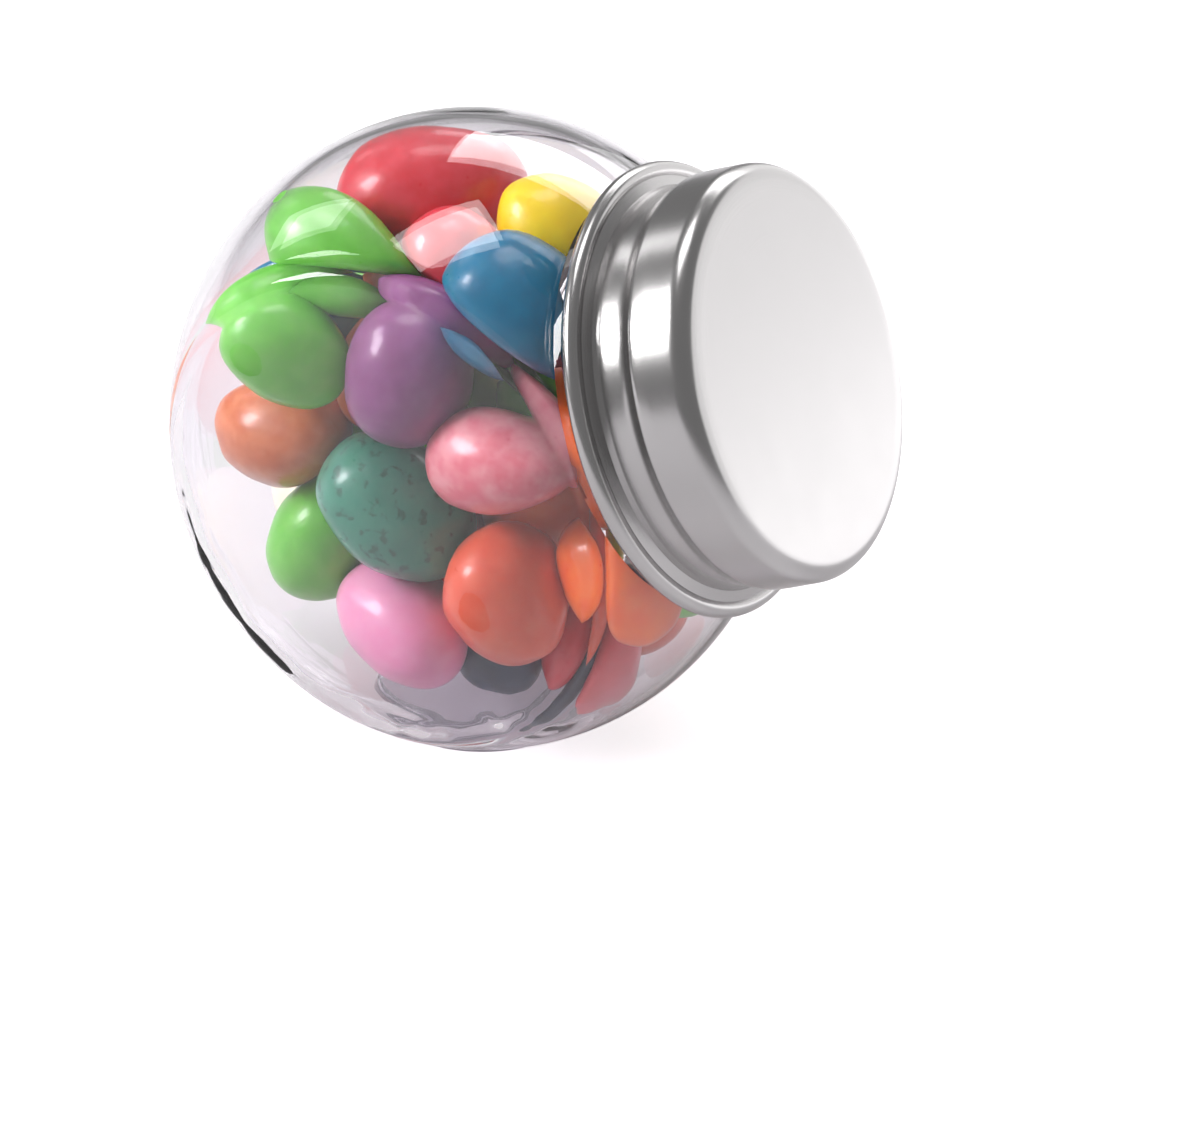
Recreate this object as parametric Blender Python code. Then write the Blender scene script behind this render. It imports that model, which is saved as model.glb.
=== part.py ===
"""Tilted candy jar with jelly beans.

A clear glass globe, pressed flat at its front and its back, stands on a low round foot. Its round
neck points up and to one side, and a spun steel lid closes it. Jelly beans fill the globe.

World frame: +X is the side of the neck, -Y faces out of the front flat and +Z is up. The origin is
the middle of the foot, on the table. Sizes are in millimetres, and MM turns them into metres.
"""
import math

import bmesh
import bpy
import numpy as np
from mathutils import Matrix, Vector

MM = 0.001

# Globe, in its own frame: the neck's axis is X, the flats face Y, the origin is the centre.
GLOBE_RADIUS = 30.0
SQUASH = 0.94                       # the globe's length along the neck, over its height
FLAT_HALF_DEPTH = 19.3              # from the centre to either flat
FLAT_EDGE_RADIUS = 2.0              # rounding between a flat and the globe
CENTRE_HEIGHT = 29.0                # from the foot to the globe's centre
NECK_TILT = math.radians(22.5)      # how far the neck's axis points up from the table

# Hollow of the globe, much like its outside but rounder at the edges of its flats
CAVITY_RADIUS = 28.9
CAVITY_HALF_DEPTH = 17.2
CAVITY_EDGE_RADIUS = 6.0

# Neck and foot
NECK_RADIUS = 17.2
BORE_RADIUS = 14.9
NECK_END = 33.8                     # from the globe's centre to the rim of the neck
NECK_START = 18.0                   # the neck's tube begins inside the globe's wall
COLLAR_RADIUS = 19.1                # a low ring of glass under the lid's rolled edge
COLLAR_END = 22.9
COLLAR_EDGE = 0.4
FOOT_RADIUS = 10.7
FOOT_RISE = 3.0                     # height of the foot's tapered side
FOOT_TOP_RADIUS = 9.6
TABLE_BLOCK = 80.0                  # a block that trims the globe level with the foot
CUT_SPARE = 2.0                     # how far the bore's cutter runs out past the neck

# Lid, along the neck's axis from the globe's centre and out from that axis
LID_START = 23.4
LID_END = 35.2
BEAD_TUBE = 0.85                    # radius of the rolled edge
BEAD_ROOT = 0.25                    # from the rolled edge to the start of the first band
BEAD_RADIUS = 19.95                 # from the axis to the middle of the rolled edge
BAND_RADIUS = 18.35                 # first band, next to the rolled edge
STEP_AT = 29.4                      # where the first band has swelled into the second
STEP_SLOPE = 1.6                    # how long that swelling is
STEP_RADIUS = 18.9
CORNER_RADIUS = 1.8
LID_WALL = 0.55

# Jelly beans
BEAN_LENGTH = 14.4
BEAN_WIDTH = 11.0
BEAN_BEND = 0.8                     # how far the middle of a bean's spine lies off its ends
BEAN_END_SHARE = 0.86               # radius of a bean's ends, over its radius at the middle
BEAN_BALLS = 5                      # balls along a bean's spine that stand for its shape
BEAN_GAP = 0.1                      # between a bean and the glass that it leans on
HEAP_GAP = 0.65                     # between the heap's solid and the glass
HEAP_CORE = 0.62                    # the heap is solid this far out towards the glass
FILL_LEVEL = 17.0                   # beans under the top layer lie below this, from the centre
FILL_REACH = 15.0                   # and no further up the neck than this

# Where the beans against the front of the glass lie, from the globe's centre: along X, Y and Z,
# the long side's lean from X towards Z and its swing towards Y in degrees, and length and width
# over the usual ones.
FRONT_BEANS = (
    (-6.2, 3.9, 21.0, -12, 20, 1.24, 1.14),
    (-10.6, -7.6, 19.4, 3, 29, 1.06, 0.88),
    (-13.0, -12.3, 12.0, -34, 0, 0.92, 0.88),
    (8.0, 0.9, 19.8, -9, 22, 0.98, 0.90),
    (9.6, -8.8, 18.0, -28, 10, 1.10, 1.02),
    (-15.2, -1.1, 9.6, -17, 17, 0.95, 0.88),
    (-3.2, -1.1, 11.1, -24, 12, 1.01, 0.89),
    (-1.2, -11.2, 11.4, 79, 0, 0.97, 1.03),
    (-16.0, -7.4, 0.0, 22, 0, 1.05, 0.97),
    (-2.6, -10.6, -3.7, -34, 0, 1.10, 1.10),
    (9.2, -12.0, 4.8, -11, 0, 1.03, 0.91),
    (-12.4, -7.8, -10.6, 70, 0, 0.95, 0.92),
    (9.3, -11.4, -9.1, -75, 0, 0.92, 0.99),
    (18.9, -9.2, -6.8, -46, -8, 0.92, 0.92),
    (19.0, -6.2, 7.0, 75, 30, 0.95, 0.88),
    (-2.1, -11.9, -16.2, -26, 0, 1.07, 0.95),
    (3.0, -2.7, -18.2, 60, 107, 0.95, 0.89),
    (-5.5, 2.8, -19.4, 0, 27, 0.95, 0.89),
    (13.4, -4.3, -17.1, -30, 8, 0.95, 0.89),
    (-2.2, 2.4, 1.3, -17, 17, 0.95, 0.90),
)
HIDDEN_BEANS = 19
CLOUD_POINTS = 6000                 # places that a hidden bean can choose from
SETTLE_STEPS = 300
HELD_SHARE = 0.1                    # how much of a push a front bean gives way to
HOME_PULL = 0.08                    # and how much of the way home it goes in a step
SINK = 0.01                         # how far a hidden bean sinks in a step
TWIST_SHARE = 0.02                  # how far a bean turns to ease a push on one end
HELD_TWIST_SHARE = 0.002

# Fineness: steps round a circle and along an arc, the heap's detail and the share of it kept
GLOBE_STEPS = 48
GLOBE_ARC_STEPS = 5
FLAT_EDGE_STEPS = 3
CAVITY_EDGE_STEPS = 5
NECK_STEPS = 40
LID_STEPS = 48
BEAD_ARC_STEPS = 6
HEAP_DETAIL = 5
HEAP_MESH_SHARE = 0.72
HALVINGS = 24                       # halvings in the search for the wall
SHARP_EDGE = math.radians(35)


def material(name, colour, roughness, metallic=0.0):
    """A plain material of one colour."""
    made = bpy.data.materials.new(name)
    made.use_nodes = True
    shader = made.node_tree.nodes["Principled BSDF"]
    shader.inputs["Base Color"].default_value = (*colour, 1.0)
    shader.inputs["Roughness"].default_value = roughness
    shader.inputs["Metallic"].default_value = metallic
    return made


def add_object(name, mesh, made_of=None):
    """An object for a finished mesh, in the scene's collection."""
    thing = bpy.data.objects.new(name, mesh)
    bpy.context.scene.collection.objects.link(thing)
    if made_of:
        mesh.materials.append(made_of)
    return thing


def finished_mesh(name, solid):
    """A mesh of a built shape, shaded smooth but for its sharp edges."""
    mesh = bpy.data.meshes.new(name)
    solid.to_mesh(mesh)
    solid.free()
    mesh.shade_smooth()
    mesh.set_sharp_from_angle(angle=SHARP_EDGE)
    return mesh


def arc(centre, radius, start, end, steps):
    """Points along an arc of (along, out) pairs, its angles in degrees from the along axis."""
    turns = [math.radians(start + (end - start) * i / steps) for i in range(steps + 1)]
    return [(centre[0] + radius * math.cos(t), centre[1] + radius * math.sin(t)) for t in turns]


def turned(name, profile, steps, axis):
    """Turn a profile of (along, out) pairs in millimetres round an axis into a closed mesh.

    The profile either starts and ends on the axis, or is a closed loop away from it.
    """
    along = Vector(axis)
    out = Vector((0, 0, 1)) if abs(along.z) < 0.5 else Vector((1, 0, 0))
    side = along.cross(out)
    solid = bmesh.new()
    rings = []
    for a, r in profile:
        if r < 1e-6:
            rings.append([solid.verts.new(along * a * MM)])
            continue
        turns = [2 * math.pi * k / steps for k in range(steps)]
        rings.append([
            solid.verts.new((along * a + (out * math.cos(t) + side * math.sin(t)) * r) * MM)
            for t in turns
        ])
    closed_loop = len(rings[0]) > 1
    pairs = list(zip(rings, rings[1:] + rings[:1])) if closed_loop else list(zip(rings, rings[1:]))
    for low, high in pairs:
        for k in range(steps):
            corners = [low[k % len(low)], low[(k + 1) % len(low)],
                       high[(k + 1) % len(high)], high[k % len(high)]]
            solid.faces.new(list(dict.fromkeys(corners)))
    bmesh.ops.recalc_face_normals(solid, faces=solid.faces)
    return finished_mesh(name, solid)


def cut(target, cutter, operation):
    """Add or take away a guide solid with a Boolean modifier."""
    cutter.hide_render = True
    cutter.display_type = "WIRE"
    step = target.modifiers.new(cutter.name, "BOOLEAN")
    step.operation = operation
    step.solver = "EXACT"
    step.object = cutter


def globe_profile(radius, depth, edge, edge_steps):
    """Half section of a globe round the axis of its flats: flat, rounded edge, sphere."""
    edge_out = math.sqrt((radius - edge) ** 2 - (depth - edge) ** 2)
    meets = math.degrees(math.atan2(edge_out, depth - edge))
    front = [(depth, 0.0), (depth, edge_out * 0.5)]
    front += arc((depth - edge, edge_out), edge, 0.0, meets, edge_steps)
    side = arc((0.0, 0.0), radius, meets, 90.0, GLOBE_ARC_STEPS)[1:]
    half = front + side
    return half + [(-along, out) for along, out in reversed(half[:-1])]


def build_glass(tilt):
    """The glass: globe, neck and foot in one piece, hollow and open at the neck."""
    glass = material("clear_glass", (0.86, 0.88, 0.90), 0.05)
    squash = Matrix.Diagonal((SQUASH, 1.0, 1.0, 1.0))
    outside = globe_profile(GLOBE_RADIUS, FLAT_HALF_DEPTH, FLAT_EDGE_RADIUS, FLAT_EDGE_STEPS)
    globe = turned("glass_jar", outside, GLOBE_STEPS, (0, 1, 0))
    globe.transform(squash)
    jar = add_object("glass_jar", globe, glass)

    neck = turned("neck", [(NECK_START, 0.0), (NECK_START, COLLAR_RADIUS),
                           (COLLAR_END - COLLAR_EDGE, COLLAR_RADIUS),
                           (COLLAR_END, COLLAR_RADIUS - COLLAR_EDGE), (COLLAR_END, NECK_RADIUS),
                           (NECK_END, NECK_RADIUS), (NECK_END, 0.0)], NECK_STEPS, (1, 0, 0))
    inside = globe_profile(CAVITY_RADIUS, CAVITY_HALF_DEPTH, CAVITY_EDGE_RADIUS, CAVITY_EDGE_STEPS)
    hollow = turned("hollow", inside, GLOBE_STEPS, (0, 1, 0))
    hollow.transform(squash)
    bore_end = NECK_END + CUT_SPARE
    bore = turned("bore", [(0.0, 0.0), (0.0, BORE_RADIUS), (bore_end, BORE_RADIUS),
                           (bore_end, 0.0)], NECK_STEPS, (1, 0, 0))
    ground = -CENTRE_HEIGHT
    foot = turned("foot", [(ground, 0.0), (ground, FOOT_RADIUS),
                           (ground + FOOT_RISE, FOOT_TOP_RADIUS), (ground + FOOT_RISE, 0.0)],
                  NECK_STEPS, (0, 0, 1))
    block = bmesh.new()
    low = Matrix.Translation((0, 0, (ground - TABLE_BLOCK / 2) * MM))
    bmesh.ops.create_cube(block, size=TABLE_BLOCK * MM, matrix=low)
    table = finished_mesh("table", block)

    jar.parent = tilt
    upright = bpy.data.objects["globe_centre"]
    for mesh, parent, operation in ((neck, tilt, "UNION"), (foot, upright, "UNION"),
                                    (hollow, tilt, "DIFFERENCE"), (bore, tilt, "DIFFERENCE"),
                                    (table, upright, "DIFFERENCE")):
        tool = add_object(mesh.name, mesh)
        tool.parent = parent
        cut(jar, tool, operation)
    return jar


def lid_profile():
    """Section of the lid's sheet: rolled edge, first band, step, second band, corner, top."""
    bead = (LID_START + BEAD_TUBE, BEAD_RADIUS)
    outside = arc(bead, BEAD_TUBE, 270.0, -20.0, BEAD_ARC_STEPS)
    outside += [(bead[0] + BEAD_TUBE + BEAD_ROOT, BAND_RADIUS), (STEP_AT - STEP_SLOPE, BAND_RADIUS),
                (STEP_AT, STEP_RADIUS), (LID_END - CORNER_RADIUS, STEP_RADIUS)]
    corner = (LID_END - CORNER_RADIUS, STEP_RADIUS - CORNER_RADIUS)
    outside += arc(corner, CORNER_RADIUS, 90.0, 0.0, 4)[1:]
    step_inside, band_inside = STEP_RADIUS - LID_WALL, BAND_RADIUS - LID_WALL
    inside = [(LID_END - LID_WALL, 0.0), (LID_END - LID_WALL, corner[1]),
              (corner[0], step_inside), (STEP_AT, step_inside),
              (STEP_AT - STEP_SLOPE, band_inside), (LID_START, band_inside)]
    return [(LID_END, 0.0)] + outside[::-1] + inside[::-1]


def build_lid(tilt):
    """The spun steel lid."""
    steel = material("satin_steel", (0.72, 0.71, 0.70), 0.3, 1.0)
    lid = add_object("lid", turned("lid", lid_profile(), LID_STEPS, (1, 0, 0)), steel)
    lid.parent = tilt
    return lid


def bean_turn(lean, swing, roll):
    """Rotation of a bean whose long side leans from X towards Z and swings towards Y."""
    turn = (Matrix.Rotation(math.radians(swing), 3, "Z")
            @ Matrix.Rotation(-math.radians(lean), 3, "Y")
            @ Matrix.Rotation(math.radians(roll), 3, "X"))
    return np.array(turn)


def turned_by(twist):
    """Rotation matrix of a twist whose length is its angle."""
    angle = np.linalg.norm(twist)
    return np.array(Matrix.Rotation(angle, 3, Vector(twist))) if angle > 1e-9 else np.eye(3)


def to_neck(points):
    """Points from upright axes to the globe's own, whose X is the neck's axis."""
    cosine, sine = math.cos(NECK_TILT), math.sin(NECK_TILT)
    x, y, z = points[..., 0], points[..., 1], points[..., 2]
    return np.stack((x * cosine + z * sine, y, z * cosine - x * sine), axis=-1)


def room_used(points, spare):
    """Over 1 where a point is closer to the hollow's wall than the spare room asked for."""
    own = to_neck(points)
    along = own[..., 0] / (CAVITY_RADIUS * SQUASH - spare)
    globe = np.hypot(along, np.hypot(own[..., 1], own[..., 2]) / (CAVITY_RADIUS - spare))
    globe = np.maximum(globe, np.abs(own[..., 1]) / (CAVITY_HALF_DEPTH - spare))
    bore = np.hypot(own[..., 1], own[..., 2]) / (BORE_RADIUS - spare)
    end = own[..., 0] / (NECK_END - spare)
    return np.where(own[..., 0] > 0, np.minimum(globe, np.maximum(bore, end)), globe)


def bean_balls(lengths, widths):
    """Each bean's balls along its bent spine, in its own axes, and their radii."""
    along = np.linspace(-1, 1, BEAN_BALLS)
    radii = widths[:, None] / 2 * (1 - (1 - BEAN_END_SHARE) * along ** 2)
    reach = (lengths / 2 - radii[:, 0])[:, None] * along
    bend = np.broadcast_to(BEAN_BEND * (0.5 - along ** 2), reach.shape)
    return np.stack((reach, np.zeros_like(reach), bend), axis=-1), radii


def hidden_places(taken, count, rng):
    """Open places for more beans, each as far as it can be from those before it."""
    cloud = rng.uniform(-CAVITY_RADIUS, NECK_END, (CLOUD_POINTS, 3))
    cloud = cloud[room_used(cloud, BEAN_WIDTH / 2) < 1]
    cloud = cloud[(cloud[:, 2] < FILL_LEVEL) & (to_neck(cloud)[:, 0] < FILL_REACH)]
    places = list(taken)
    for _ in range(count):
        gaps = np.linalg.norm(cloud[:, None] - np.array(places)[None], axis=2).min(axis=1)
        places.append(cloud[np.argmax(gaps)])
    return np.array(places)


def settled_beans():
    """Lay out all the beans and push them apart until they touch but hardly overlap.

    Returns the middle of every ball of every bean, from the globe's centre in upright axes, and
    the radius of each.
    """
    rng = np.random.default_rng(5)
    front = np.array(FRONT_BEANS, dtype=float)
    places = hidden_places(front[:, :3], HIDDEN_BEANS, rng)
    count = len(places)
    leans = np.concatenate((front[:, 3], rng.uniform(0, 180, HIDDEN_BEANS)))
    swings = np.concatenate((front[:, 4], rng.uniform(-70, 70, HIDDEN_BEANS)))
    rolls = rng.uniform(0, 360, count)
    lengths = BEAN_LENGTH * np.concatenate((front[:, 5], rng.uniform(0.93, 1.05, HIDDEN_BEANS)))
    widths = BEAN_WIDTH * np.concatenate((front[:, 6], rng.uniform(0.92, 1.04, HIDDEN_BEANS)))
    turns = np.array([bean_turn(*angles) for angles in zip(leans, swings, rolls)])
    balls, radii = bean_balls(lengths, widths)
    homes = places.copy()
    held = np.arange(count) < len(front)
    own = np.repeat(np.arange(count), BEAN_BALLS)
    apart = own[:, None] != own[None]
    flat_radii = radii.ravel()
    for _ in range(SETTLE_STEPS):
        places = places + (homes - places) * np.where(held, HOME_PULL, 0.0)[:, None]
        places[~held, 2] -= SINK
        arms = np.einsum("bij,bkj->bki", turns, balls)
        middles = (places[:, None] + arms).reshape(-1, 3)
        gaps = middles[:, None] - middles[None]
        distance = np.linalg.norm(gaps, axis=2) + 1e-9
        overlap = np.where(apart, flat_radii[:, None] + flat_radii[None] - distance, 0).clip(0)
        push = (gaps / distance[..., None] * overlap[..., None]).sum(axis=1) / 2
        push = push.reshape(count, BEAN_BALLS, 3)
        used = np.maximum(room_used(middles, flat_radii + BEAN_GAP), 1)
        back = (middles * (1 / used - 1)[:, None]).reshape(count, BEAN_BALLS, 3)
        leaning = (used > 1).reshape(count, BEAN_BALLS).sum(axis=1).clip(1)
        places = places + push.mean(axis=1) * np.where(held, HELD_SHARE, 1.0)[:, None]
        places = places + back.sum(axis=1) / leaning[:, None]
        twists = np.cross(arms, push + back).mean(axis=1)
        twists = twists * np.where(held, HELD_TWIST_SHARE, TWIST_SHARE)[:, None]
        turns = np.array([turned_by(twist) @ turn for twist, turn in zip(twists, turns)])
    arms = np.einsum("bij,bkj->bki", turns, balls)
    return (places[:, None] + arms).reshape(-1, 3), flat_radii


def build_heap(centre):
    """The beans as one solid, out to the uneven outline that they make in the globe."""
    sugar = material("bean_sugar", (0.80, 0.30, 0.30), 0.35)
    middles, radii = settled_beans()
    solid = bmesh.new()
    bmesh.ops.create_icosphere(solid, subdivisions=HEAP_DETAIL, radius=1.0)
    for vertex in solid.verts:
        way = np.array(vertex.co.normalized())
        ahead = middles @ way
        inside = radii ** 2 - ((middles ** 2).sum(axis=1) - ahead ** 2)
        hits = np.where((inside > 0) & (ahead > 0), ahead + np.sqrt(inside.clip(0)), 0.0)
        wall = wall_distance(way)
        reach = min(max(hits.max(), wall * HEAP_CORE), wall)
        vertex.co = Vector(way * reach * MM)
    heap = add_object("bean_heap", finished_mesh("bean_heap", solid), sugar)
    heap.parent = centre
    thin = heap.modifiers.new("thin", "DECIMATE")
    thin.ratio = HEAP_MESH_SHARE
    return heap


def wall_distance(way):
    """How far out from the globe's centre the heap may reach along a direction."""
    low, high = 0.0, 2 * GLOBE_RADIUS
    for _ in range(HALVINGS):
        middle = (low + high) / 2
        if room_used(way * middle, HEAP_GAP) < 1:
            low = middle
        else:
            high = middle
    return low


def main():
    """Clear the scene and build the jar's pieces."""
    for old in list(bpy.data.objects):
        bpy.data.objects.remove(old, do_unlink=True)
    centre = bpy.data.objects.new("globe_centre", None)
    bpy.context.scene.collection.objects.link(centre)
    centre.location = (0, 0, CENTRE_HEIGHT * MM)
    tilt = bpy.data.objects.new("neck_tilt", None)
    bpy.context.scene.collection.objects.link(tilt)
    tilt.parent = centre
    tilt.rotation_euler = (0, -NECK_TILT, 0)
    build_glass(tilt)
    build_lid(tilt)
    build_heap(centre)


main()
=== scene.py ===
"""Tilted candy jar with jelly beans, finished around its fixed model."""
import math

import bpy
import numpy as np
from mathutils import Matrix, Vector, noise


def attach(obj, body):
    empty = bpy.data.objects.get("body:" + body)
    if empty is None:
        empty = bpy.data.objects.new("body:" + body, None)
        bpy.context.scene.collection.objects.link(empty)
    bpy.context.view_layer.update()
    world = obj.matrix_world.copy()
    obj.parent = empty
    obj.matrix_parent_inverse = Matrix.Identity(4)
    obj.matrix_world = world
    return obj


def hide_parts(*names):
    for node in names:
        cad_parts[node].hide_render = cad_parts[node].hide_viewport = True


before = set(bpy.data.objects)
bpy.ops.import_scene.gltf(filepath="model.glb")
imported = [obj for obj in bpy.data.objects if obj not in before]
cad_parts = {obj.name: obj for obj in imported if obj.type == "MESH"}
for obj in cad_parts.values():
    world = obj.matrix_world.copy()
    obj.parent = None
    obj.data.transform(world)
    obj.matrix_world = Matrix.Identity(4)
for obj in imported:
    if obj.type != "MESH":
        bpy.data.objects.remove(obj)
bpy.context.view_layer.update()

MM = 0.001

# Globe: the neck's axis is X in its own frame, the flats face Y, the origin is the centre.
GLOBE_RADIUS = 30.0
SQUASH = 0.94
FLAT_HALF_DEPTH = 19.3
FLAT_EDGE_RADIUS = 2.0
FLAT_RING = 0.6                     # a narrow ring that keeps the flat's shading flat
FLAT_RINGS = 14                     # rings of a flat, so that it can be uneven
EDGE_STEPS = 12                     # steps of a flat's rounded edge
SPHERE_STEPS = 26                   # steps of the sphere from there to the middle
GLOBE_TURN_STEPS = 180
HOLLOW_TURN_STEPS = 240
NECK_TURN_STEPS = 144
CORNER_RING = 23.0                  # where the hollow's rounded corners lie, from the flats' axis
CORNER_WIDTH = 4.5
CORNER_START = 0.45                 # share of the thick corner at the centre's height
CORNER_FALL = 0.9                   # how fast it falls off with height
CORNER_NECK_FALL = 1.5              # and how fast towards the neck
BLOWN_WAVES = (18.0, 12.0, 0.15)    # waves of the whole hollow: length, width and depth
CORNER_WAVES = (5.0, 2.2, 0.5)      # waves of the thick corner
CORNER_RIPPLES = (2.0, 0.9, 0.14)   # and finer ones over them
CORNER_PUSH = 0.1                   # how much thicker the glass is there
CENTRE_HEIGHT = 29.0
NECK_TILT = math.radians(22.5)
CAVITY_RADIUS = 28.9                # the hollow's sphere
CAVITY_HALF_DEPTH = 17.2
CAVITY_EDGE_RADIUS = 3.5

# Neck and foot
NECK_RADIUS = 17.2
BORE_RADIUS = 14.9
NECK_START = 18.0
NECK_END = 33.8
RIM_ROUND = 0.9                     # rounding of the neck's rim, under the lid
COLLAR_RADIUS = 19.1
COLLAR_END = 22.9
COLLAR_EDGE = 0.4
FOOT_RADIUS = 10.7
FOOT_TOP_RADIUS = 9.6
FOOT_RISE = 3.0
FOOT_EDGE = 0.35
CUT_SPARE = 2.0                     # how far a guide solid reaches past what it cuts
TABLE_BLOCK = 80.0                  # side of the block that cuts the foot flat

# Lid
LID_START = 23.4
LID_END = 35.2
BEAD_TUBE = 0.85                    # radius of the rolled edge's tube
BEAD_RADIUS = 19.95                 # of its middle line
BEAD_ROOT = 0.25                    # groove behind the rolled edge
ROOT_RISE = 0.12                    # how far the groove's floor stands out of the band
ROOT_RUN = 0.5                      # and how soon it meets the band
BAND_RADIUS = 18.35
BAND_STEPS = 6
STEP_AT = 29.4
STEP_SLOPE = 1.6
STEP_STEPS = 8
STEP_RADIUS = 18.9
STEP_BULGE = 0.05                   # the second band is a little fuller at its start
CORNER_RADIUS = 1.8
LID_WALL = 0.4
LID_TURN_STEPS = 192

# Jelly beans
BEAN_LENGTH = 14.4
BEAN_WIDTH = 11.0
BEAN_BEND = 0.8                     # how far the middle of a bean's spine lies off its ends
BEAN_END_SHARE = 0.86               # radius of a bean's ends, over its radius at the middle
BEAN_BALLS = 5                      # balls along a bean's spine that stand for its shape
BEAN_GAP = 0.1                      # between a bean and the glass that it leans on
FILL_LEVEL = 17.0                   # beans under the top layer lie below this, from the centre
FILL_REACH = 15.0                   # and no further up the neck than this
BEAN_SHAPES = (                     # bend in degrees, taper and lumps of the four shapes
    (26, 0.10, 0.05),
    (18, -0.08, 0.06),
    (34, 0.05, 0.05),
    (12, 0.12, 0.07),
)

# Where the beans against the front of the glass lie, from the globe's centre: along X, Y and Z,
# the long side's lean from X towards Z and its swing towards Y in degrees, length and width over
# the usual ones, and the flavour.
FRONT_BEANS = (
    (-7.0, 3.5, 21.5, -10, 20, 1.25, 1.10, "cherry"),
    (-10.5, -7.5, 19.5, 5, 30, 1.05, 0.90, "apple"),
    (-13.0, -12.5, 12.0, -35, 0, 0.90, 0.90, "apple"),
    (8.0, 1.0, 20.0, -10, 20, 1.00, 0.90, "lemon"),
    (9.5, -9.0, 18.0, -30, 10, 1.10, 1.10, "blueberry"),
    (-15.0, -1.0, 9.5, -15, 15, 0.95, 0.90, "blueberry"),
    (-0.5, -2.0, 17.0, -30, 10, 0.95, 0.90, "cherry"),
    (-1.0, -11.0, 11.5, 80, 0, 0.95, 1.05, "grape"),
    (-16.0, -7.5, 0.0, 20, 0, 1.05, 0.95, "toffee"),
    (-2.5, -10.5, -3.5, -35, 0, 1.10, 1.10, "mint"),
    (9.0, -12.0, 5.0, -10, 0, 1.05, 0.90, "peach"),
    (-12.5, -8.0, -10.5, 70, 0, 0.95, 0.90, "apple"),
    (9.5, -11.5, -9.0, -75, 0, 0.95, 1.05, "coral"),
    (19.5, -9.0, -7.0, -45, -10, 0.90, 0.90, "orange"),
    (19.0, -6.0, 7.0, 75, 30, 0.95, 0.90, "orange"),
    (-2.0, -12.0, -16.0, -25, 0, 1.05, 0.95, "rose"),
    (6.5, -5.0, -17.0, 70, 105, 0.90, 0.85, "plum"),
    (-5.5, 3.0, -19.5, 0, 25, 0.95, 0.90, "cherry"),
    (13.5, -3.5, -20.5, -30, 10, 0.90, 0.85, "cherry"),
    (-2.0, 2.5, 1.5, -15, 15, 0.95, 0.90, "olive"),
)
HIDDEN_FLAVOURS = ("lemon", "apple", "rose", "coral", "cream", "orange", "lemon", "mint", "cherry",
                   "cream", "apple", "grape", "apple", "lemon", "peach", "toffee", "orange", "cherry",
                   "apple")
CLOUD_POINTS = 6000                 # places that a hidden bean can choose from
SETTLE_STEPS = 300
HELD_SHARE = 0.1                    # how much of a push a front bean gives way to
HOME_PULL = 0.08                    # and how much of the way home it goes in a step
SINK = 0.01                         # how far a hidden bean sinks in a step
TWIST_SHARE = 0.02                  # how much of a push's turn a bean takes
HELD_TWIST_SHARE = 0.002            # and a front bean

# Light, in metres
SOFTBOX_DISTANCE = 0.9
CARD_DISTANCE = 0.22                # a white card stands this near, to be seen in the lid
CARD_LIFT = 0.002                   # and another lies this high over the table


# ---------------------------------------------------------------- hand tools

def pick(*things):
    """Leave only these objects selected, the first of them active, out of edit mode."""
    if bpy.context.object and bpy.context.object.mode != "OBJECT":
        bpy.ops.object.mode_set(mode="OBJECT")
    bpy.ops.object.select_all(action="DESELECT")
    for thing in things:
        thing.select_set(True)
    bpy.context.view_layer.objects.active = things[0]


def apply_modifier(thing, kind, **settings):
    """Add a modifier with its settings and apply it."""
    pick(thing)
    step = thing.modifiers.new(kind.title(), kind)
    for name, value in settings.items():
        setattr(step, name, value)
    bpy.ops.object.modifier_apply(modifier=step.name)


def combine(target, other, operation):
    """Join, cut or cross a piece with a guide solid, which is then thrown away."""
    apply_modifier(target, "BOOLEAN", operation=operation, solver="EXACT", object=other)
    bpy.data.objects.remove(other, do_unlink=True)


def arc(centre, radius, start, end, steps):
    """Points along an arc of (along, out) pairs, its angles in degrees from the along axis."""
    turns = [math.radians(start + (end - start) * i / steps) for i in range(steps + 1)]
    return [(centre[0] + radius * math.cos(t), centre[1] + radius * math.sin(t)) for t in turns]


def spun(name, section, steps, axis):
    """Draw a section of (along, out) pairs point by point, and spin it round an axis.

    The section either starts and ends on the axis, or is a closed loop away from it.
    """
    along = Vector(axis)
    out = Vector((0, 0, 1)) if abs(along.z) < 0.5 else Vector((1, 0, 0))
    points = [(along * a + out * r) * MM for a, r in section]
    if section[0][1] > 0:
        points.append(points[0])
    bpy.ops.object.select_all(action="DESELECT")
    bpy.ops.mesh.primitive_plane_add(size=MM, location=points[0])
    piece = bpy.context.object
    piece.name = piece.data.name = name
    bpy.ops.object.transform_apply(location=True, rotation=True, scale=True)
    bpy.ops.object.mode_set(mode="EDIT")
    bpy.ops.mesh.select_mode(type="VERT")
    bpy.ops.mesh.select_all(action="SELECT")
    bpy.ops.mesh.merge(type="CENTER")
    for before, after in zip(points, points[1:]):
        bpy.ops.mesh.extrude_vertices_move(
            TRANSFORM_OT_translate={"value": after - before})
    bpy.ops.mesh.select_all(action="SELECT")
    bpy.ops.mesh.spin(steps=steps, angle=2 * math.pi, center=(0, 0, 0), axis=along)
    bpy.ops.mesh.select_all(action="SELECT")
    bpy.ops.mesh.remove_doubles(threshold=0.002 * MM)
    bpy.ops.mesh.normals_make_consistent(inside=False)
    bpy.ops.object.mode_set(mode="OBJECT")
    return piece


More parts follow.
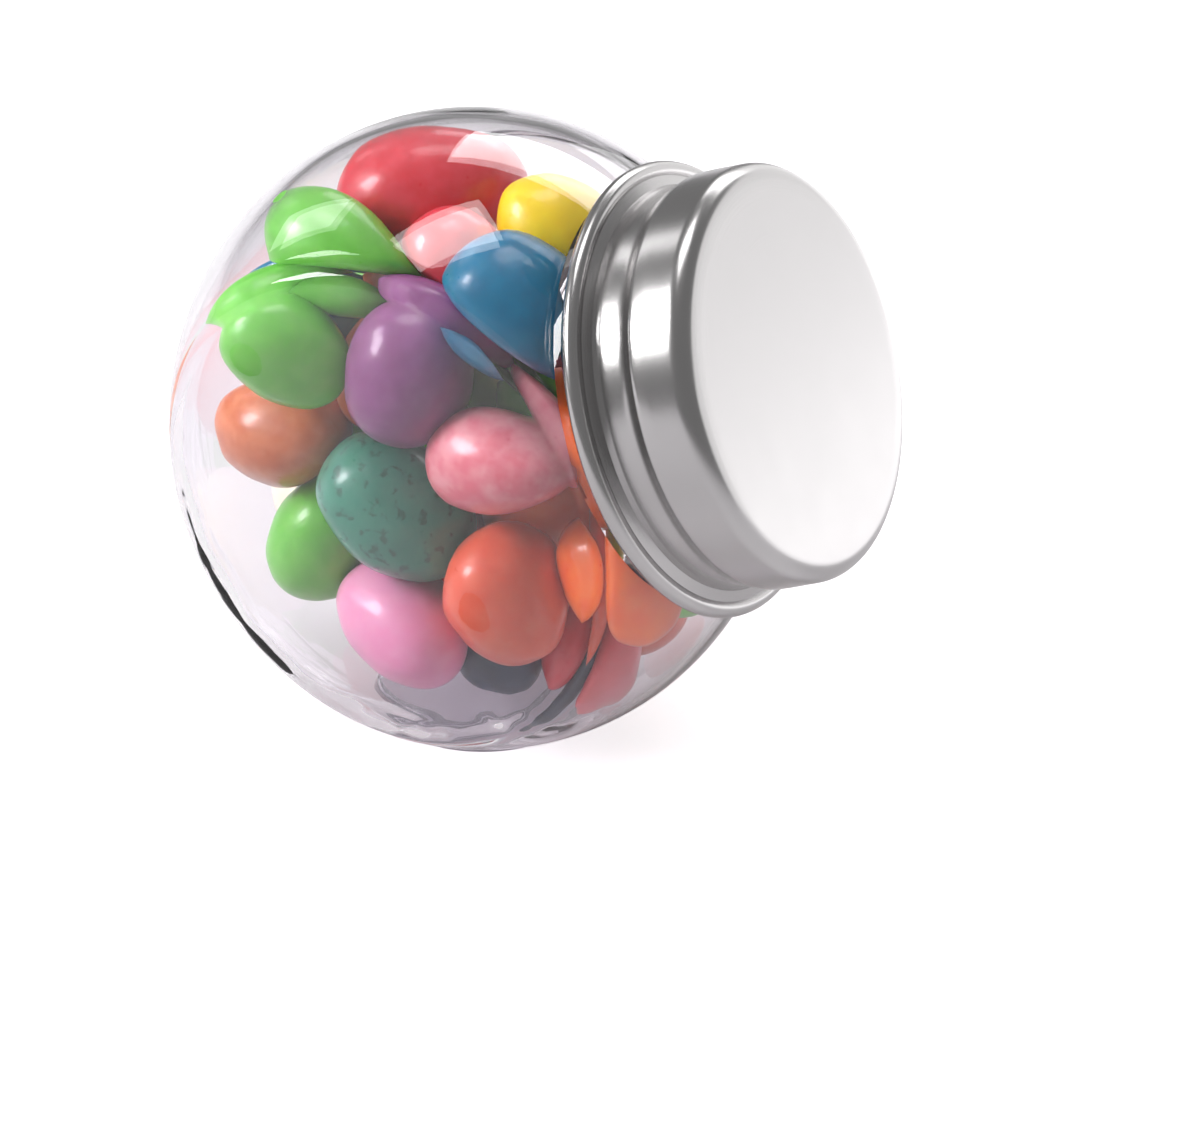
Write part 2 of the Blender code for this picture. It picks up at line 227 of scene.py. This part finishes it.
def settle_in_place(piece, tilted):
    """Turn a piece to the neck's tilt if asked, and lift it to the globe's centre."""
    pick(piece)
    if tilted:
        piece.rotation_euler = (0, -NECK_TILT, 0)
    piece.location = (0, 0, CENTRE_HEIGHT * MM)
    bpy.ops.object.transform_apply(location=True, rotation=True, scale=True)


def smooth(piece, angle):
    """Smooth shading, kept sharp at edges over the angle in degrees."""
    pick(piece)
    bpy.ops.object.shade_smooth_by_angle(angle=math.radians(angle))


def squash_along_neck(piece):
    """Press a globe together along the neck's axis."""
    pick(piece)
    piece.scale = (SQUASH, 1, 1)
    bpy.ops.object.transform_apply(location=True, rotation=True, scale=True)


# ---------------------------------------------------------------- glass

def globe_section(radius, depth, edge):
    """Half section of a globe round the axis of its flats: flat, rounded edge, sphere."""
    edge_out = math.sqrt((radius - edge) ** 2 - (depth - edge) ** 2)
    meets = math.degrees(math.atan2(edge_out, depth - edge))
    flat_out = edge_out - FLAT_RING
    half = [(depth, 0.0)] + [(depth, flat_out * i / FLAT_RINGS) for i in range(1, FLAT_RINGS + 1)]
    half += arc((depth - edge, edge_out), edge, 0.0, meets, EDGE_STEPS)
    half += arc((0.0, 0.0), radius, meets, 90.0, SPHERE_STEPS)[1:]
    return half + [(-along, out) for along, out in reversed(half[:-1])]


def corner_share(place):
    """How thick the corner's glass is: 1 low and away from the neck, less towards the top."""
    ring = 1 - abs(math.hypot(place.x, place.z) - CORNER_RING) / CORNER_WIDTH
    ring = min(max(ring, 0.0), 1.0)
    height = place.x * math.sin(NECK_TILT) + place.z * math.cos(NECK_TILT)
    fall = height * CORNER_FALL + max(place.x, 0.0) * CORNER_NECK_FALL
    low = CORNER_START - fall / GLOBE_RADIUS
    low = min(max(low, 0.0), 1.0)
    return ring * ring * (3 - 2 * ring) * low


def ripple(piece, share, along, across, depth, push=0.0):
    """Make a hollow's wall uneven, in waves so long round the flats' axis and so wide across it.

    The push makes the glass thicker there.
    """
    normals = [vertex.normal.copy() for vertex in piece.data.vertices]
    for vertex, normal in zip(piece.data.vertices, normals):
        place = vertex.co / MM
        turn = math.atan2(place.z, place.x)
        out = math.hypot(place.x, place.z)
        wave = noise.noise(Vector((math.cos(turn) * CORNER_RING / along,
                                   math.sin(turn) * CORNER_RING / along,
                                   (out - place.y) / across)))
        vertex.co += normal * (wave * depth - push) * share(place) * MM


def make_jar():
    """Globe, neck and foot in one piece of glass, hollow and open at the neck.

    The outside took its shape from a mould. The inside was blown, so it is a little uneven, and
    most so in the thick glass of the corners.
    """
    outside = globe_section(GLOBE_RADIUS, FLAT_HALF_DEPTH, FLAT_EDGE_RADIUS)
    jar = spun("glass_jar_clear", outside, GLOBE_TURN_STEPS, (0, 1, 0))
    squash_along_neck(jar)
    neck = spun("neck", [(NECK_START, 0.0), (NECK_START, COLLAR_RADIUS)]
                + arc((COLLAR_END - COLLAR_EDGE, COLLAR_RADIUS - COLLAR_EDGE), COLLAR_EDGE, 90, 0, 5)
                + [(COLLAR_END, NECK_RADIUS)]
                + arc((NECK_END - RIM_ROUND, NECK_RADIUS - RIM_ROUND), RIM_ROUND, 90, 0, 6)
                + [(NECK_END, 0.0)], NECK_TURN_STEPS, (1, 0, 0))
    combine(jar, neck, "UNION")
    inside = globe_section(CAVITY_RADIUS, CAVITY_HALF_DEPTH, CAVITY_EDGE_RADIUS)
    hollow = spun("hollow", inside, HOLLOW_TURN_STEPS, (0, 1, 0))
    squash_along_neck(hollow)
    ripple(hollow, lambda place: 1.0, *BLOWN_WAVES)
    ripple(hollow, corner_share, *CORNER_WAVES, push=CORNER_PUSH)
    ripple(hollow, corner_share, *CORNER_RIPPLES)
    bore = spun("bore", [(0.0, 0.0), (0.0, BORE_RADIUS), (NECK_END + CUT_SPARE, BORE_RADIUS),
                         (NECK_END + CUT_SPARE, 0.0)], NECK_TURN_STEPS, (1, 0, 0))
    combine(hollow, bore, "UNION")
    combine(jar, hollow, "DIFFERENCE")
    settle_in_place(jar, True)
    foot = spun("foot", [(-CENTRE_HEIGHT, 0.0)]
                + arc((FOOT_EDGE - CENTRE_HEIGHT, FOOT_RADIUS - FOOT_EDGE), FOOT_EDGE, 180, 90, 4)
                + [(FOOT_RISE - CENTRE_HEIGHT, FOOT_TOP_RADIUS), (FOOT_RISE - CENTRE_HEIGHT, 0.0)],
                NECK_TURN_STEPS, (0, 0, 1))
    settle_in_place(foot, False)
    combine(jar, foot, "UNION")
    pick(jar)
    bpy.ops.mesh.primitive_cube_add(size=TABLE_BLOCK * MM, location=(0, 0, -TABLE_BLOCK / 2 * MM))
    combine(jar, bpy.context.object, "DIFFERENCE")
    smooth(jar, 32)
    return jar


# ---------------------------------------------------------------- lid

def lid_section():
    """Section of the lid's sheet: rolled edge, first band, step, second band, corner, top."""
    bead = (LID_START + BEAD_TUBE, BEAD_RADIUS)
    outside = arc(bead, BEAD_TUBE, 270.0, -40.0, 22)
    root = bead[0] + BEAD_TUBE + BEAD_ROOT
    outside += [(root, BAND_RADIUS + ROOT_RISE), (root + ROOT_RUN, BAND_RADIUS)]
    band_start, band_end = root + 0.7, STEP_AT - STEP_SLOPE
    for i in range(BAND_STEPS + 1):
        outside.append((band_start + (band_end - band_start) * i / BAND_STEPS, BAND_RADIUS))
    for i in range(1, STEP_STEPS):
        share = i / STEP_STEPS
        outside.append((STEP_AT - STEP_SLOPE + STEP_SLOPE * share,
                        BAND_RADIUS + (STEP_RADIUS - BAND_RADIUS) * share ** 2))
    fuller = STEP_RADIUS + STEP_BULGE
    outside += [(STEP_AT, STEP_RADIUS), (STEP_AT + 0.4, fuller), (STEP_AT + 1.5, fuller)]
    outside += [(LID_END - CORNER_RADIUS - 0.6, STEP_RADIUS)]
    corner = (LID_END - CORNER_RADIUS, STEP_RADIUS - CORNER_RADIUS)
    outside += arc(corner, CORNER_RADIUS, 90.0, 0.0, 12)
    outside += [(LID_END, corner[1] - 1.0)]
    step_inside, band_inside = STEP_RADIUS - LID_WALL, BAND_RADIUS - LID_WALL
    inside = [(LID_END - LID_WALL, 0.0), (LID_END - LID_WALL, corner[1]),
              (corner[0], step_inside), (STEP_AT, step_inside),
              (STEP_AT - STEP_SLOPE, band_inside), (LID_START, band_inside)]
    return [(LID_END, 0.0)] + outside[::-1] + inside[::-1]


def make_lid():
    """The spun steel lid."""
    lid = spun("lid_steel", lid_section(), LID_TURN_STEPS, (1, 0, 0))
    settle_in_place(lid, True)
    smooth(lid, 40)
    return lid


# ---------------------------------------------------------------- jelly beans

def bean_turn(lean, swing, roll):
    """Rotation of a bean whose long side leans from X towards Z and swings towards Y."""
    turn = (Matrix.Rotation(math.radians(swing), 3, "Z")
            @ Matrix.Rotation(-math.radians(lean), 3, "Y")
            @ Matrix.Rotation(math.radians(roll), 3, "X"))
    return np.array(turn)


def turned_by(twist):
    """Rotation matrix of a twist whose length is its angle."""
    angle = np.linalg.norm(twist)
    return np.array(Matrix.Rotation(angle, 3, Vector(twist))) if angle > 1e-9 else np.eye(3)


def to_neck(points):
    """Points from upright axes to the globe's own, whose X is the neck's axis."""
    cosine, sine = math.cos(NECK_TILT), math.sin(NECK_TILT)
    x, y, z = points[..., 0], points[..., 1], points[..., 2]
    return np.stack((x * cosine + z * sine, y, z * cosine - x * sine), axis=-1)


def room_used(points, spare):
    """Over 1 where a point is closer to the hollow's wall than the spare room asked for."""
    own = to_neck(points)
    along = own[..., 0] / (CAVITY_RADIUS * SQUASH - spare)
    globe = np.hypot(along, np.hypot(own[..., 1], own[..., 2]) / (CAVITY_RADIUS - spare))
    globe = np.maximum(globe, np.abs(own[..., 1]) / (CAVITY_HALF_DEPTH - spare))
    bore = np.hypot(own[..., 1], own[..., 2]) / (BORE_RADIUS - spare)
    end = own[..., 0] / (NECK_END - spare)
    return np.where(own[..., 0] > 0, np.minimum(globe, np.maximum(bore, end)), globe)


def bean_balls(lengths, widths):
    """Each bean's balls along its bent spine, in its own axes, and their radii."""
    along = np.linspace(-1, 1, BEAN_BALLS)
    radii = widths[:, None] / 2 * (1 - (1 - BEAN_END_SHARE) * along ** 2)
    reach = (lengths / 2 - radii[:, 0])[:, None] * along
    bend = np.broadcast_to(BEAN_BEND * (0.5 - along ** 2), reach.shape)
    return np.stack((reach, np.zeros_like(reach), bend), axis=-1), radii


def hidden_places(taken, count, rng):
    """Open places for more beans, each as far as it can be from those before it."""
    cloud = rng.uniform(-CAVITY_RADIUS, NECK_END, (CLOUD_POINTS, 3))
    cloud = cloud[room_used(cloud, BEAN_WIDTH / 2) < 1]
    cloud = cloud[(cloud[:, 2] < FILL_LEVEL) & (to_neck(cloud)[:, 0] < FILL_REACH)]
    places = list(taken)
    for _ in range(count):
        gaps = np.linalg.norm(cloud[:, None] - np.array(places)[None], axis=2).min(axis=1)
        places.append(cloud[np.argmax(gaps)])
    return np.array(places)


def settled_beans():
    """Lay out all the beans and push them apart until they touch but hardly overlap.

    Returns each bean's place from the globe's centre, its turn, length, width and flavour.
    """
    rng = np.random.default_rng(15)
    front = np.array([row[:7] for row in FRONT_BEANS], dtype=float)
    hidden = len(HIDDEN_FLAVOURS)
    places = hidden_places(front[:, :3], hidden, rng)
    count = len(places)
    leans = np.concatenate((front[:, 3], rng.uniform(0, 180, hidden)))
    swings = np.concatenate((front[:, 4], rng.uniform(-70, 70, hidden)))
    rolls = rng.uniform(0, 360, count)
    lengths = BEAN_LENGTH * np.concatenate((front[:, 5], rng.uniform(0.93, 1.05, hidden)))
    widths = BEAN_WIDTH * np.concatenate((front[:, 6], rng.uniform(0.92, 1.04, hidden)))
    turns = np.array([bean_turn(*angles) for angles in zip(leans, swings, rolls)])
    balls, radii = bean_balls(lengths, widths)
    homes = places.copy()
    held = np.arange(count) < len(front)
    own = np.repeat(np.arange(count), BEAN_BALLS)
    apart = own[:, None] != own[None]
    flat_radii = radii.ravel()
    for _ in range(SETTLE_STEPS):
        places = places + (homes - places) * np.where(held, HOME_PULL, 0.0)[:, None]
        places[~held, 2] -= SINK
        arms = np.einsum("bij,bkj->bki", turns, balls)
        middles = (places[:, None] + arms).reshape(-1, 3)
        gaps = middles[:, None] - middles[None]
        distance = np.linalg.norm(gaps, axis=2) + 1e-9
        overlap = np.where(apart, flat_radii[:, None] + flat_radii[None] - distance, 0).clip(0)
        push = (gaps / distance[..., None] * overlap[..., None]).sum(axis=1) / 2
        push = push.reshape(count, BEAN_BALLS, 3)
        used = np.maximum(room_used(middles, flat_radii + BEAN_GAP), 1)
        back = (middles * (1 / used - 1)[:, None]).reshape(count, BEAN_BALLS, 3)
        leaning = (used > 1).reshape(count, BEAN_BALLS).sum(axis=1).clip(1)
        places = places + push.mean(axis=1) * np.where(held, HELD_SHARE, 1.0)[:, None]
        places = places + back.sum(axis=1) / leaning[:, None]
        twists = np.cross(arms, push + back).mean(axis=1)
        twists = twists * np.where(held, HELD_TWIST_SHARE, TWIST_SHARE)[:, None]
        turns = np.array([turned_by(twist) @ turn for twist, turn in zip(twists, turns)])
    flavours = [row[7] for row in FRONT_BEANS] + list(HIDDEN_FLAVOURS)
    return list(zip(places, turns, lengths, widths, flavours))


def bean_shape(name, bend, taper, lump, seed):
    """One jelly bean of unit size: a ball drawn long, bent, tapered and made a little lumpy."""
    bpy.ops.object.select_all(action="DESELECT")
    bpy.ops.mesh.primitive_uv_sphere_add(segments=40, ring_count=28, radius=0.5,
                                         rotation=(0, math.pi / 2, 0))
    bean = bpy.context.object
    bean.name = bean.data.name = name
    bpy.ops.object.transform_apply(location=True, rotation=True, scale=True)
    bpy.ops.object.mode_set(mode="EDIT")
    bpy.ops.mesh.select_all(action="SELECT")
    bpy.ops.transform.resize(value=(1.31, 1.0, 0.97), center_override=(0, 0, 0))
    bpy.ops.object.mode_set(mode="OBJECT")
    apply_modifier(bean, "CAST", cast_type="CUBOID", factor=0.09, use_x=True, use_y=False, use_z=False)
    apply_modifier(bean, "SIMPLE_DEFORM", deform_method="TAPER", factor=taper, deform_axis="X")
    apply_modifier(bean, "SIMPLE_DEFORM", deform_method="BEND", angle=math.radians(bend),
                   deform_axis="Y")
    cloud = bpy.data.textures.new(name + "_lumps", "CLOUDS")
    cloud.noise_scale = 0.45 + 0.05 * seed
    cloud.noise_depth = 1
    apply_modifier(bean, "DISPLACE", texture=cloud, strength=lump, mid_level=0.5,
                   texture_coords="LOCAL")
    low = np.array(bean.bound_box).min(axis=0)
    high = np.array(bean.bound_box).max(axis=0)
    middle = Vector((low + high) / 2)
    size = Vector(high - low)
    bean.data.transform(Matrix.Diagonal((1 / size.x, 1 / size.y, 1 / size.z, 1))
                        @ Matrix.Translation(-middle))
    bpy.ops.object.shade_smooth()
    return bean


def make_beans():
    """Every bean at its place, one piece for each flavour."""
    shapes = [bean_shape("bean_" + "abcd"[i], *look, i) for i, look in enumerate(BEAN_SHAPES)]
    by_flavour = {}
    lift = Matrix.Translation((0, 0, CENTRE_HEIGHT * MM))
    for i, (place, turn, length, width, flavour) in enumerate(settled_beans()):
        master = shapes[i % len(shapes)]
        bean = master.copy()
        bean.data = master.data.copy()
        bpy.context.scene.collection.objects.link(bean)
        size = Matrix.Diagonal((length * MM, width * MM, width * MM, 1))
        at = Matrix.Translation(Vector(place) * MM)
        bean.data.transform(lift @ at @ Matrix(turn).to_4x4() @ size)
        by_flavour.setdefault(flavour, []).append(bean)
    pieces = {}
    for flavour, beans in by_flavour.items():
        pick(*beans)
        if len(beans) > 1:
            bpy.ops.object.join()
        piece = bpy.context.object
        piece.name = piece.data.name = "beans_" + flavour
        pieces[flavour] = piece
    for shape in shapes:
        bpy.data.objects.remove(shape, do_unlink=True)
    return pieces


# ---------------------------------------------------------------- materials

def linear(hex_colour):
    """An sRGB hex value as linear colour with alpha 1."""
    values = [int(hex_colour[i:i + 2], 16) / 255 for i in (1, 3, 5)]
    return [v / 12.92 if v <= 0.04045 else ((v + 0.055) / 1.055) ** 2.4 for v in values] + [1.0]


def add_node(tree, kind, settings=None, inputs=None, links=None):
    """Add a node with its settings, input values, and links given as input: output socket."""
    node = tree.nodes.new(kind)
    for name, value in (settings or {}).items():
        setattr(node, name, value)
    for name, value in (inputs or {}).items():
        node.inputs[name].default_value = value
    for name, socket in (links or {}).items():
        tree.links.new(socket, node.inputs[name])
    return node


def new_material(name):
    """An empty material tree with its output node and Object coordinates."""
    made = bpy.data.materials.new(name)
    made.use_nodes = True
    tree = made.node_tree
    tree.nodes.clear()
    place = add_node(tree, "ShaderNodeTexCoord").outputs["Object"]
    return made, tree, place


def clear_glass():
    """Soda-lime container glass, blown and fire polished: clear and bright, faintly lilac.

    Light that only casts shadows goes straight through, so it reaches the beans.
    """
    made, tree, _ = new_material("soda_lime_glass")
    shader = add_node(tree, "ShaderNodeBsdfPrincipled", inputs={
        "Base Color": linear("#FDFBFE"), "Roughness": 0.0, "IOR": 1.5, "Transmission Weight": 1.0})
    passing = add_node(tree, "ShaderNodeBsdfTransparent", inputs={"Color": linear("#F4F2F5")})
    kind = add_node(tree, "ShaderNodeLightPath")
    mix = add_node(tree, "ShaderNodeMixShader", links={"Fac": kind.outputs["Is Shadow Ray"]})
    tree.links.new(shader.outputs[0], mix.inputs[1])
    tree.links.new(passing.outputs[0], mix.inputs[2])
    add_node(tree, "ShaderNodeOutputMaterial", links={"Surface": mix.outputs[0]})
    return made


def satin_steel():
    """Stainless steel sheet, spun and brushed round the neck's axis: fine turned lines."""
    made, tree, place = new_material("spun_stainless_steel")
    axis = add_node(tree, "ShaderNodeMapping", {"vector_type": "POINT"},
                    inputs={"Location": (0.0, 0.0, -CENTRE_HEIGHT * MM)}, links={"Vector": place})
    own = add_node(tree, "ShaderNodeMapping", {"vector_type": "POINT"},
                   inputs={"Rotation": (0.0, NECK_TILT, 0.0)}, links={"Vector": axis.outputs[0]})
    split = add_node(tree, "ShaderNodeSeparateXYZ", links={"Vector": own.outputs[0]})
    squares = [add_node(tree, "ShaderNodeMath", {"operation": "MULTIPLY"}) for _ in range(2)]
    for node, letter in zip(squares, "YZ"):
        tree.links.new(split.outputs[letter], node.inputs[0])
        tree.links.new(split.outputs[letter], node.inputs[1])
    total = add_node(tree, "ShaderNodeMath", {"operation": "ADD"})
    tree.links.new(squares[0].outputs[0], total.inputs[0])
    tree.links.new(squares[1].outputs[0], total.inputs[1])
    out = add_node(tree, "ShaderNodeMath", {"operation": "SQRT"})
    tree.links.new(total.outputs[0], out.inputs[0])
    rings = add_node(tree, "ShaderNodeCombineXYZ",
                     links={"X": split.outputs["X"], "Y": out.outputs[0]})
    lines = add_node(tree, "ShaderNodeTexNoise", inputs={"Scale": 9000.0, "Detail": 2.0},
                     links={"Vector": rings.outputs[0]})
    cloud = add_node(tree, "ShaderNodeTexNoise", inputs={"Scale": 160.0, "Detail": 2.0},
                     links={"Vector": place})
    rough = add_node(tree, "ShaderNodeMapRange", inputs={"To Min": 0.20, "To Max": 0.28},
                     links={"Value": cloud.outputs["Fac"]})
    ridge = add_node(tree, "ShaderNodeBump", inputs={"Strength": 0.12, "Distance": 0.00002},
                     links={"Height": lines.outputs["Fac"]})
    shader = add_node(tree, "ShaderNodeBsdfPrincipled", inputs={
        "Base Color": linear("#BAB8B8"), "Metallic": 1.0},
        links={"Roughness": rough.outputs["Result"], "Normal": ridge.outputs["Normal"]})
    add_node(tree, "ShaderNodeOutputMaterial", links={"Surface": shader.outputs[0]})
    return made


# Each flavour's main colour, its mottled colour, and how strongly it is mottled and freckled.
FRECKLE_COLOUR = "#1B4A3E"
FLAVOURS = {
    "cherry": ("#CE2433", "#DE4A58", 0.5, 0.0),
    "apple": ("#6CC642", "#84D25A", 0.4, 0.0),
    "lemon": ("#F6D60A", "#EFC600", 0.4, 0.0),
    "blueberry": ("#0A6E92", "#0E83A6", 0.4, 0.0),
    "grape": ("#87467C", "#9A5C94", 0.5, 0.0),
    "toffee": ("#C4622F", "#D58156", 0.7, 0.0),
    "mint": ("#3F8E76", "#4B9C82", 0.5, 0.6),
    "peach": ("#E4707F", "#F2A4AC", 0.8, 0.0),
    "coral": ("#EB5F3E", "#F07C58", 0.4, 0.0),
    "orange": ("#F4631B", "#F98432", 0.5, 0.0),
    "rose": ("#F096C0", "#F4AECE", 0.4, 0.0),
    "plum": ("#16253F", "#22365A", 0.4, 0.0),
    "olive": ("#557F2A", "#6B9838", 0.5, 0.0),
    "cream": ("#F2E8D4", "#E9DCC2", 0.4, 0.0),
}


def bean_sugar(flavour):
    """Panned sugar shell polished with wax: a soft glow under a thin bright gloss.

    The colour is laid on in many coats, so it is faintly mottled, and the wax has fine pits.
    """
    main, mottled, strength, freckles = FLAVOURS[flavour]
    made, tree, place = new_material("sugar_shell_" + flavour)
    mottle = add_node(tree, "ShaderNodeTexNoise", inputs={"Scale": 420.0, "Detail": 4.0},
                      links={"Vector": place})
    amount = add_node(tree, "ShaderNodeMapRange",
                      inputs={"From Min": 0.4, "From Max": 0.65, "To Max": strength},
                      links={"Value": mottle.outputs["Fac"]})
    coats = add_node(tree, "ShaderNodeMix", {"data_type": "RGBA"},
                     links={"Factor": amount.outputs["Result"]})
    coats.inputs["A"].default_value = linear(main)
    coats.inputs["B"].default_value = linear(mottled)
    colour = coats.outputs["Result"]
    if freckles:
        specks = add_node(tree, "ShaderNodeTexNoise", inputs={"Scale": 900.0, "Detail": 3.0},
                          links={"Vector": place})
        dark = add_node(tree, "ShaderNodeMapRange",
                        inputs={"From Min": 0.57, "From Max": 0.66, "To Max": freckles},
                        links={"Value": specks.outputs["Fac"]})
        spotted = add_node(tree, "ShaderNodeMix", {"data_type": "RGBA"},
                           links={"Factor": dark.outputs["Result"], "A": colour})
        spotted.inputs["B"].default_value = linear(FRECKLE_COLOUR)
        colour = spotted.outputs["Result"]
    pits = add_node(tree, "ShaderNodeTexNoise", inputs={"Scale": 1600.0, "Detail": 2.0},
                    links={"Vector": place})
    gloss = add_node(tree, "ShaderNodeMapRange", inputs={"To Min": 0.22, "To Max": 0.42},
                     links={"Value": pits.outputs["Fac"]})
    skin = add_node(tree, "ShaderNodeBump", inputs={"Strength": 0.1, "Distance": 0.0001},
                    links={"Height": pits.outputs["Fac"]})
    shader = add_node(tree, "ShaderNodeBsdfPrincipled", inputs={
        "IOR": 1.46, "Subsurface Weight": 0.35, "Subsurface Radius": (1.0, 0.7, 0.5),
        "Subsurface Scale": 0.0015, "Coat Weight": 0.35, "Coat Roughness": 0.1},
        links={"Base Color": colour, "Roughness": gloss.outputs["Result"],
               "Normal": skin.outputs["Normal"]})
    add_node(tree, "ShaderNodeOutputMaterial", links={"Surface": shader.outputs[0]})
    return made


def dress(piece, made, slot_name, *nodes):
    """Give a piece its material and its body, and hide the model's nodes that it stands for.

    The slot name is not used.
    """
    piece.data.materials.clear()
    piece.data.materials.append(made)
    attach(piece, "root")
    if nodes:
        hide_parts(*nodes)


# ---------------------------------------------------------------- stage

def make_floor():
    """Plain white table top, which looks a little lighter than the light that it gives off."""
    bpy.ops.object.select_all(action="DESELECT")
    bpy.ops.mesh.primitive_plane_add(size=4.0, location=(0, 0, 0))
    floor = bpy.context.object
    floor.name = "floor"
    made, tree, _ = new_material("white_table")
    shader = add_node(tree, "ShaderNodeBsdfPrincipled", inputs={
        "Base Color": linear("#F4F2F5"), "Roughness": 0.9})
    lift = add_node(tree, "ShaderNodeEmission", inputs={"Strength": 0.6})
    both = add_node(tree, "ShaderNodeAddShader")
    tree.links.new(shader.outputs[0], both.inputs[0])
    tree.links.new(lift.outputs[0], both.inputs[1])
    seen = add_node(tree, "ShaderNodeLightPath")
    mix = add_node(tree, "ShaderNodeMixShader", links={"Fac": seen.outputs["Is Camera Ray"]})
    tree.links.new(shader.outputs[0], mix.inputs[1])
    tree.links.new(both.outputs[0], mix.inputs[2])
    add_node(tree, "ShaderNodeOutputMaterial", links={"Surface": mix.outputs[0]})
    floor.data.materials.append(made)


def softbox(name, direction, size, brightness, distance=SOFTBOX_DISTANCE):
    """A rectangular softbox that looks at the jar from a direction, as bright as asked."""
    lamp = bpy.data.lights.new(name, "AREA")
    lamp.shape = "RECTANGLE"
    lamp.size, lamp.size_y = size
    lamp.energy = brightness * math.pi * size[0] * size[1]
    holder = bpy.data.objects.new(name, lamp)
    bpy.context.scene.collection.objects.link(holder)
    way = Vector(direction).normalized()
    holder.location = way * distance + Vector((0, 0, CENTRE_HEIGHT * MM))
    holder.rotation_euler = way.to_track_quat("Z", "Y").to_euler()


def low_card(name, place, size, brightness):
    """A bright card that lies on the table, to be seen in the lid."""
    softbox(name, (0, 0, -1), size, brightness)
    card = bpy.data.objects[name]
    card.location = (place[0], place[1], CARD_LIFT)
    card.rotation_euler = (math.pi, 0, math.atan2(place[1], place[0]))


def make_light():
    """A dim studio with softboxes at the left front, overhead and behind, and two white cards."""
    world = bpy.data.worlds.new("studio")
    bpy.context.scene.world = world
    world.use_nodes = True
    world.node_tree.nodes["Background"].inputs["Color"].default_value = (1, 1, 1, 1)
    world.node_tree.nodes["Background"].inputs["Strength"].default_value = 0.26
    softbox("key", (-0.72, -0.46, 0.50), (0.26, 0.34), 18.0)
    softbox("overhead", (-0.14, 0.10, 0.98), (0.46, 0.30), 5.0)
    softbox("back", (-0.10, 0.80, 0.58), (0.60, 0.32), 3.4)
    softbox("left_back", (-0.81, 0.26, 0.52), (0.16, 0.34), 2.0)
    softbox("right_back", (0.62, 0.77, 0.21), (0.50, 0.15), 1.05, distance=CARD_DISTANCE)
    low_card("low_card", (0.17, 0.20), (0.30, 0.20), 0.75)


CAMERA_AZIMUTH = math.radians(26.9)
CAMERA_ELEVATION = math.radians(29.3)
CAMERA_PLACE = (160.2, -291.2, 171.3)   # from the globe's centre, in millimetres


def make_camera():
    """The camera looks down on the jar from its front right."""
    lens = bpy.data.cameras.new("camera")
    lens.lens = 120.0
    lens.sensor_width = 36.0
    lens.clip_start, lens.clip_end = 0.01, 10.0
    camera = bpy.data.objects.new("camera", lens)
    bpy.context.scene.collection.objects.link(camera)
    camera.location = (Vector(CAMERA_PLACE) + Vector((0, 0, CENTRE_HEIGHT))) * MM
    back = Vector((math.sin(CAMERA_AZIMUTH) * math.cos(CAMERA_ELEVATION),
                   -math.cos(CAMERA_AZIMUTH) * math.cos(CAMERA_ELEVATION),
                   math.sin(CAMERA_ELEVATION)))
    camera.rotation_euler = back.to_track_quat("Z", "Y").to_euler()
    bpy.context.scene.camera = camera


# ---------------------------------------------------------------- making

make_camera()
make_light()
make_floor()
dress(make_jar(), clear_glass(), "clear_glass", "glass_jar")
dress(make_lid(), satin_steel(), "satin_steel", "lid")
for flavour, beans in make_beans().items():
    dress(beans, bean_sugar(flavour), "bean_sugar", "bean_heap")
bpy.context.scene.view_settings.view_transform = "Standard"
